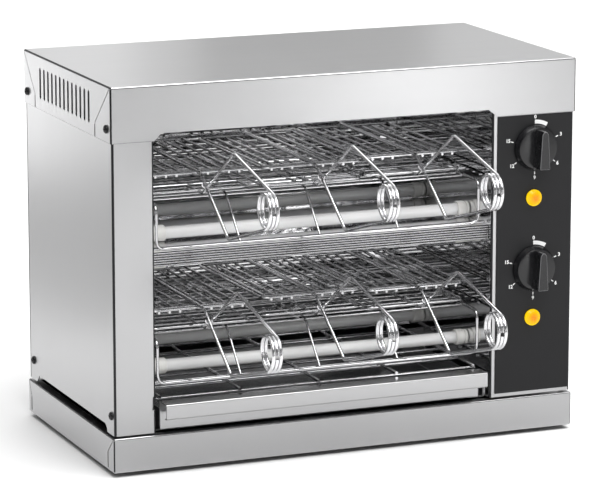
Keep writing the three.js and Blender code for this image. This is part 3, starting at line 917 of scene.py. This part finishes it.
def add_racks():
    """The wire rack of each deck, with a guard that slopes down in front of the tubes."""
    left, right, front, back = RACK_LEFT, RACK_RIGHT, 10, RACK_BACK
    first, last, count = 50, RACK_BACK - 3, 12
    for deck, lift in DECKS.items():
        top, low = RACK_Z + lift, RAIL_Z + lift
        under = top - 2 * RACK_WIRE + 0.6
        shape = Shape()
        shape.tube(rounded([
            (left, back, top), (left, front, top), (left, front, low),
            (right, front, low), (right, front, top), (right, back, top),
        ], 9, 8), RACK_WIRE, 12)
        for y in (front + 2.6, front + 5.2):
            shape.tube([(left - 3, y, low), (right + 8, y, low)], RACK_WIRE * 0.85)
        for x in RACK_BARS_X:
            riser = [(x, front + 1, low + 1.4), (x, 48, top), (x, back, top)]
            shape.tube(rounded(riser, 8), RACK_WIRE * 0.8)
        for i in range(count):
            y = first + i * (last - first) / (count - 1)
            shape.tube([(left - 1, y, under), (right + 1, y, under)], RACK_WIRE * 0.8)
        node = f"tong_rack_{deck}"
        piece(f"rack_{deck}", shape, CHROME_DARKER, "chassis", [node])


def add_tray_guard():
    """The sparse grid over the crumb tray."""
    high, low = 66, 63.6
    shape = Shape()
    for x in (RACK_LEFT + 3, *RACK_BARS_X, RACK_RIGHT - 3):
        shape.tube([(x, 12, high), (x, RACK_BACK, high)], RACK_WIRE)
    for y in (15, 55, 95, 135, 175, 211):
        shape.tube([(RACK_LEFT, y, low), (RACK_RIGHT, y, low)], RACK_WIRE)
    piece("guard_grid", shape, CHROME_DARKER, "chassis", ["tray_guard_grid"])


def add_tray():
    """A shallow pan, painted darker on its upward faces as shade, with a handle lip folded over its
    front wall.
    """
    left, right, front, back, low, rim, wall = -187, 140, 8, 214, 35, 56, 1
    outer = rounded_block((left, front, low), (right, back, rim), 1.6, bottom=True, segments=4)
    inner = rounded_block(
        (left + wall, front + wall, low + wall), (right - wall, back - wall, rim + 2),
        0.8, bottom=True, segments=4)
    shape = mesh_to_shape(carve(outer, mesh_to_shape(inner)))
    fold, lip, top, foot = front + wall / 2, -10.5, 63, 49.5
    outline = folded_strip(
        [(fold, rim - 3), (fold, top), (lip, top), (lip, foot), (lip + 3.5, foot)], wall, 1.1)
    shape.prism(outline, "x", left, right)
    made = piece("tray", shape, STEEL_LONG, "tray", ["crumb_tray"], smooth_angle=30)
    # Painted shade on the faces that look up.
    made.data.materials.append(HALF_SHADE_STEEL)
    for face in made.data.polygons:
        if face.normal.z > 0.9:
            face.material_index = 1


# ------------------------ controls
def add_knob(deck):
    """A round skirt with a narrow grip across it that tapers towards its pointer end."""
    z = DIAL_Z[deck]
    shape = Shape().turned([
        (0, 0), (21.6, 0), (22, 0.4), (22, 1.6), (21.7, 2.2), (19.9, 6.6), (19.6, 7.2), (19.0, 7.4),
        (16, 7.75), (11, 8.15), (5, 8.4), (0, 8.5),
    ], "-y", (DIAL_X, 0, z), 72)
    heel, nose, reach = 5.2, 2.4, 18.2
    outline = fillet([
        (DIAL_X, z - reach), (DIAL_X + heel, z - reach), (DIAL_X + nose + 0.8, z + reach - 3),
        (DIAL_X + nose - 1, z + reach), (DIAL_X, z + reach),
    ], 0.9, 4)
    outline = [tuple(p) for p in outline[1:-1]]
    mirrored = [(2 * DIAL_X - a, b) for a, b in reversed(outline)]
    shape.prism(outline + mirrored, "y", -22.5, -7.0)
    made = piece(f"knob_{deck}", shape, KNOB_BLACK, f"{deck}_timer_knob",
                 [f"timer_knob_{deck}"], edge=0.4)
    # Painted highlight: the bevels take the lighter phenolic.
    made.data.materials.append(KNOB_PAINTED_HIGHLIGHT)
    made.modifiers["edge"].material = 1


def add_lamp(deck):
    """A round lens with a stepped rim."""
    z = LAMP_Z[deck]
    lens = Shape().turned([
        (0, -14), (5.6, -14), (5.6, 0), (7.6, 0), (8.0, 0.4), (8.0, 1.7), (7.7, 2.2), (7.0, 2.5),
        (6.7, 2.9), (6.3, 3.6), (5.2, 4.3), (3.4, 4.8), (1.6, 5.0), (0, 5.05),
    ], "-y", (DIAL_X - 1, 0, z), 48)
    piece(f"lens_{deck}", lens, LENS_PAINTED_GLOW, "chassis", [f"pilot_lamp_{deck}"])


def text_shape(text, size, x, z):
    """Flat raised numerals facing the front, centred on x and z."""
    curve = bpy.data.curves.new("numeral", "FONT")
    curve.body = text
    curve.size = size
    curve.align_x = "CENTER"
    curve.align_y = "CENTER"
    curve.extrude = 0.05
    curve.offset = 0.15
    curve.resolution_u = 3
    holder = add_object("numeral", curve)
    graph = bpy.context.evaluated_depsgraph_get()
    mesh = bpy.data.meshes.new_from_object(holder.evaluated_get(graph))
    bpy.data.objects.remove(holder)
    points = [(x + v.co.x, 0.3 - v.co.z, z + v.co.y) for v in mesh.vertices]
    return points, [tuple(face.vertices) for face in mesh.polygons]


def add_dial_print(deck):
    """Minute marks round a timer knob, and the wedge that shows the way to turn."""
    centre = DIAL_Z[deck]
    shape = Shape()
    marks = (("0", 0), ("3", 68), ("6", 125), ("9", 180), ("12", 235), ("15", 285))
    for text, degrees in marks:
        turn = math.radians(degrees)
        x, z = math.sin(turn), math.cos(turn)
        shape.add(*text_shape(text, 4.8, DIAL_X + 29.4 * x, centre + 29.4 * z))
        if degrees:
            outline = []
            for along, across in ((23.6, -0.45), (26.2, -0.45), (26.2, 0.45), (23.6, 0.45)):
                outline.append((DIAL_X + along * x + across * z, centre + along * z - across * x))
            shape.prism(outline, "y", 0.25, 0.38)
    outline = []
    steps = 14
    for radius, order in ((22.9, range(steps + 1)), (26.6, reversed(range(steps + 1)))):
        for k in order:
            turn = math.radians(-1 + 31 * k / steps)
            outline.append((DIAL_X + radius * math.sin(turn), centre + radius * math.cos(turn)))
    shape.prism(outline, "y", 0.25, 0.38)
    piece(f"dial_print_{deck}", shape, PRINT, "chassis")


# ------------------------ tongs
def tangent_angle(bend, above):
    """Angle, seen along the coil, at which the arm from a bend meets the coil."""
    y, z = bend[0] - COIL_Y, bend[1] - COIL_Z
    spread = math.acos(COIL_RADIUS / math.hypot(y, z))
    return math.atan2(z, y) + (spread if above else -spread)


def coil_point(x, turn):
    """The place at an angle round a tong's coil."""
    return Vector((x, COIL_Y + COIL_RADIUS * math.cos(turn), COIL_Z + COIL_RADIUS * math.sin(turn)))


def arm_path(x, above, spine_z):
    """Half of the coil, one arm with its bend, and the spine down the middle of a jaw."""
    hand = 1 if above else -1
    bend = UPPER_BEND if above else LOWER_BEND
    arm = tangent_angle(bend, above)
    middle = hand * COIL_TURNS * math.pi
    steps = 40
    path = []
    for i in range(steps):
        turn = middle + (arm - middle) * i / steps
        path.append(coil_point(x + hand * SPREAD_COIL * i / steps, turn))
    slope = (CROSSING[1] - bend[1]) / (CROSSING[0] - bend[0])
    spine_y = CROSSING[0] + (spine_z - CROSSING[1]) / slope
    corners = [
        coil_point(x + hand * SPREAD_COIL, arm), (x + hand * SPREAD_BEND, *bend),
        (x + hand * SPREAD_SPINE, spine_y, spine_z), (x, JAW_BACK, spine_z),
    ]
    return path + rounded(corners, 4.5, 6)


def add_jaw_frame(shape, x, z):
    """The bent outer wire of a jaw, run once round with its ends welded at the back."""
    left, right, front, back = x - JAW_HALF, x + JAW_HALF, JAW_FRONT, JAW_BACK - 2
    shape.tube(rounded([
        (x + 1, back, z), (left, back, z), (left, front, z), (right, front, z), (right, back, z),
        (x + 1, back, z),
    ], 7, 6), FRAME_WIRE)


def add_hook(shape, x):
    """A small wire hook, open at the top, in which the other half's arm rests at the crossing."""
    radius, other_arm = 3.1, x - 2.3
    arc = []
    steps = 12
    for k in range(steps + 1):
        turn = math.radians(165) + math.radians(210) * k / steps
        across, up = radius * math.cos(turn), radius * math.sin(turn)
        arc.append((other_arm + across, CROSSING[0], CROSSING[1] + up))
    shape.tube(arc, 0.9, 8)


def lower_jaw(x):
    """The half with the upper arm: its frame carries the bread on cross wires."""
    shape = Shape().tube(arm_path(x, True, LOW_SPINE_Z), TONG_WIRE, 14)
    add_jaw_frame(shape, x, LOW_FRAME_Z)
    add_hook(shape, x)
    count, half, z = 6, JAW_HALF + 0.5, LOW_FRAME_Z + 1.7
    for i in range(count):
        y = JAW_FRONT + (JAW_BACK - 2 - JAW_FRONT) * (i + 1) / (count + 1)
        shape.tube([(x - half, y, z), (x + half, y, z)], GRID_WIRE, 8)
    return shape


def upper_jaw(x):
    """The half with the lower arm: its frame presses down with long wires and a front bar."""
    shape = Shape().tube(arm_path(x, False, HIGH_SPINE_Z), TONG_WIRE, 14)
    add_jaw_frame(shape, x, HIGH_FRAME_Z)
    z, pitch = HIGH_FRAME_Z - 1.7, 10.4
    for i in (-4, -3, -2, -1, 1, 2, 3, 4):
        wire_x = x + i * pitch
        shape.tube([(wire_x, JAW_FRONT - 1, z), (wire_x, JAW_BACK - 1, z)], GRID_WIRE * 1.25)
    bar_y, bar_z = JAW_FRONT + 5, z + 2.2
    shape.tube([(x - JAW_HALF, bar_y, bar_z), (x + JAW_HALF, bar_y, bar_z)], FRAME_WIRE)
    return shape


def settle(shape, slack, lift_degrees, deck_lift):
    """Tips a tong about the far end of its jaw, then shifts it to its deck."""
    turn = -math.radians(lift_degrees)
    c, s = math.cos(turn), math.sin(turn)
    for p in shape.points:
        y, z = p.y - JAW_BACK, p.z - LOW_SPINE_Z
        p.y = JAW_BACK + y * c - z * s - slack
        p.z = LOW_SPINE_Z + y * s + z * c + deck_lift
    return shape


def darken_inside(made):
    """The part of a tong that stays in the oven takes the darker chrome."""
    inside = 14
    made.data.materials.append(CHROME_DARKER)
    for face in made.data.polygons:
        if (face.center - ORIGIN).y / MM > inside:
            face.material_index = 1


def add_tongs():
    """Three tongs in each deck, each as its two halves."""
    for deck, deck_lift in DECKS.items():
        for i, x in enumerate(TONG_X):
            slack, tip = TONG_REST[deck][i]
            body = f"{deck}_tong_{i + 1}"
            halves = (("lower", lower_jaw(x), body), ("upper", upper_jaw(x), body + "_top"))
            for jaw, shape, rides in halves:
                settle(shape, slack, tip, deck_lift)
                node = f"tong_{deck}_{i + 1}_{jaw}_jaw"
                made = piece(
                    f"wire_{deck}_{i + 1}_{jaw}", shape, CHROME, rides, [node])
                darken_inside(made)


# ------------------------ carried-over CAD nodes
def dress_cad_nodes():
    """Gives every CAD node its slot's look, for those that no piece stands in for."""
    slots = {row["node"]: row["material_slot"] for row in frame["record"]["subparts"]}
    for name, node in frame["nodes"].items():
        dress(node, BY_SLOT[slots[name]], 30)


# ------------------------ stage
def upright(start, end, bottom, top):
    """The corners of a card standing on the line from start to end."""
    return [(*start, bottom), (*end, bottom), (*end, top), (*start, top)]


def lying(across, along, z=0.002):
    """The corners of a flat sheet, just above the floor unless z says otherwise."""
    (left, right), (near, far) = across, along
    return [(left, near, z), (right, near, z), (right, far, z), (left, far, z)]


def add_sheet(name, corners, look):
    """A flat four-cornered face of the studio."""
    mesh = bpy.data.meshes.new(name)
    mesh.from_pydata(corners, [], [(0, 1, 2, 3)])
    mesh.materials.append(look.material)
    return add_object(name, mesh)


def add_floor():
    """The wide pale floor the oven stands on."""
    look = Look("pale_floor", (0.93, 0.93, 0.93), 0.7)
    look.vary_roughness(look.noise((3, 3, 3), detail=2), 0.05)
    floor = add_sheet("floor", lying((-14, 14), (-14, 14), 0), look)


def add_card(name, corners, shade):
    """A flat card that only shows in reflections, to shade the steel."""
    card = add_sheet(name, corners, Look(name, (shade, shade, shade), 0.8))
    card.visible_camera = False
    card.visible_diffuse = False
    card.visible_shadow = False


def add_area(name, place, aim, size, power):
    """A rectangular light that faces the point aim."""
    light = bpy.data.lights.new(name, "AREA")
    light.shape = "RECTANGLE"
    light.size, light.size_y = size
    light.energy = power
    holder = bpy.data.objects.new(name, light)
    holder.location = place
    holder.rotation_euler = (Vector(aim) - Vector(place)).to_track_quat("-Z", "Y").to_euler()
    bpy.context.scene.collection.objects.link(holder)


def add_world():
    """A white horizon, darker walls and a bright ceiling, as in a small product studio."""
    world = bpy.data.worlds.new("studio")
    bpy.context.scene.world = world
    world.use_nodes = True
    tree = world.node_tree
    background = tree.nodes["Background"]
    place = tree.nodes.new("ShaderNodeTexCoord")
    split = tree.nodes.new("ShaderNodeSeparateXYZ")
    ramp = tree.nodes.new("ShaderNodeValToRGB")
    link = tree.links.new
    link(place.outputs["Generated"], split.inputs["Vector"])
    link(split.outputs["Z"], ramp.inputs["Fac"])
    link(ramp.outputs["Color"], background.inputs["Color"])
    stops = ((0.0, 1.0), (0.17, 0.95), (0.3, 0.22), (0.62, 0.2), (0.8, 0.9), (1.0, 1.0))
    ramp.color_ramp.elements[0].position = stops[0][0]
    ramp.color_ramp.elements[1].position = stops[-1][0]
    for position, _ in stops[1:-1]:
        ramp.color_ramp.elements.new(position)
    for element, (_, shade) in zip(ramp.color_ramp.elements, stops):
        element.color = (shade, shade, shade, 1)
    background.inputs["Strength"].default_value = 0.9


def add_studio():
    """Floor, world, reflected cards and lights."""
    add_floor()
    add_world()
    add_card("dark_card_left", upright((-1.5, -0.9), (-1.5, 0.25), 0, 1.3), 0.02)
    add_card("dark_wall_front", upright((-5, -6), (4, -6), 0, 2.1), 0.02)
    add_card("grey_card_behind", upright((0.62, 2.0), (1.02, 2.0), 0.4, 1.2), 0.3)
    add_card("grey_floor_left", lying((-1.3, -0.4), (0.5, 1.4)), 0.5)
    add_card("grey_floor_front", lying((-0.4, 0.5), (-0.22, -0.055)), 0.7)
    add_area("key_overhead", (0.3, -0.8, 2.4), (0, 0, 0.1), (1.8, 1.4), 48)
    add_area("front_fill", (-0.3, -2.6, 3.0), (0, 0, 0.15), (2.4, 1.6), 42)
    add_area("low_fill", (-0.95, -2.6, 0.6), (0, 0.1, 0.2), (0.6, 0.5), 1.2)
    add_area("strip_front_right", (0.72, -1.5, 0.35), (0, 0, 0.25), (0.12, 0.7), 1.3)
    add_area("strip_back_left", (-0.58, 1.6, 0.3), (-0.2, 0.2, 0.3), (0.14, 0.6), 0.8)
    add_area("panel_behind", (0.42, 2.0, 0.75), (0, 0.1, 0.36), (0.2, 0.7), 0.16)
    add_area("floor_behind", (0.9, 3.2, 2.6), (0.9, 2.8, 0), (3.6, 2.4), 70)
    bpy.context.scene.view_settings.view_transform = "Standard"


# ------------------------ put together
dress_cad_nodes()
add_cover()
add_shadow_line()
add_plinth()
add_side_panels()
add_screws()
add_feet()
add_gland()
add_divider()
add_elements()
add_racks()
add_tray_guard()
add_tray()
for deck_name in DECKS:
    add_knob(deck_name)
    add_lamp(deck_name)
    add_dial_print(deck_name)
add_tongs()
add_studio()
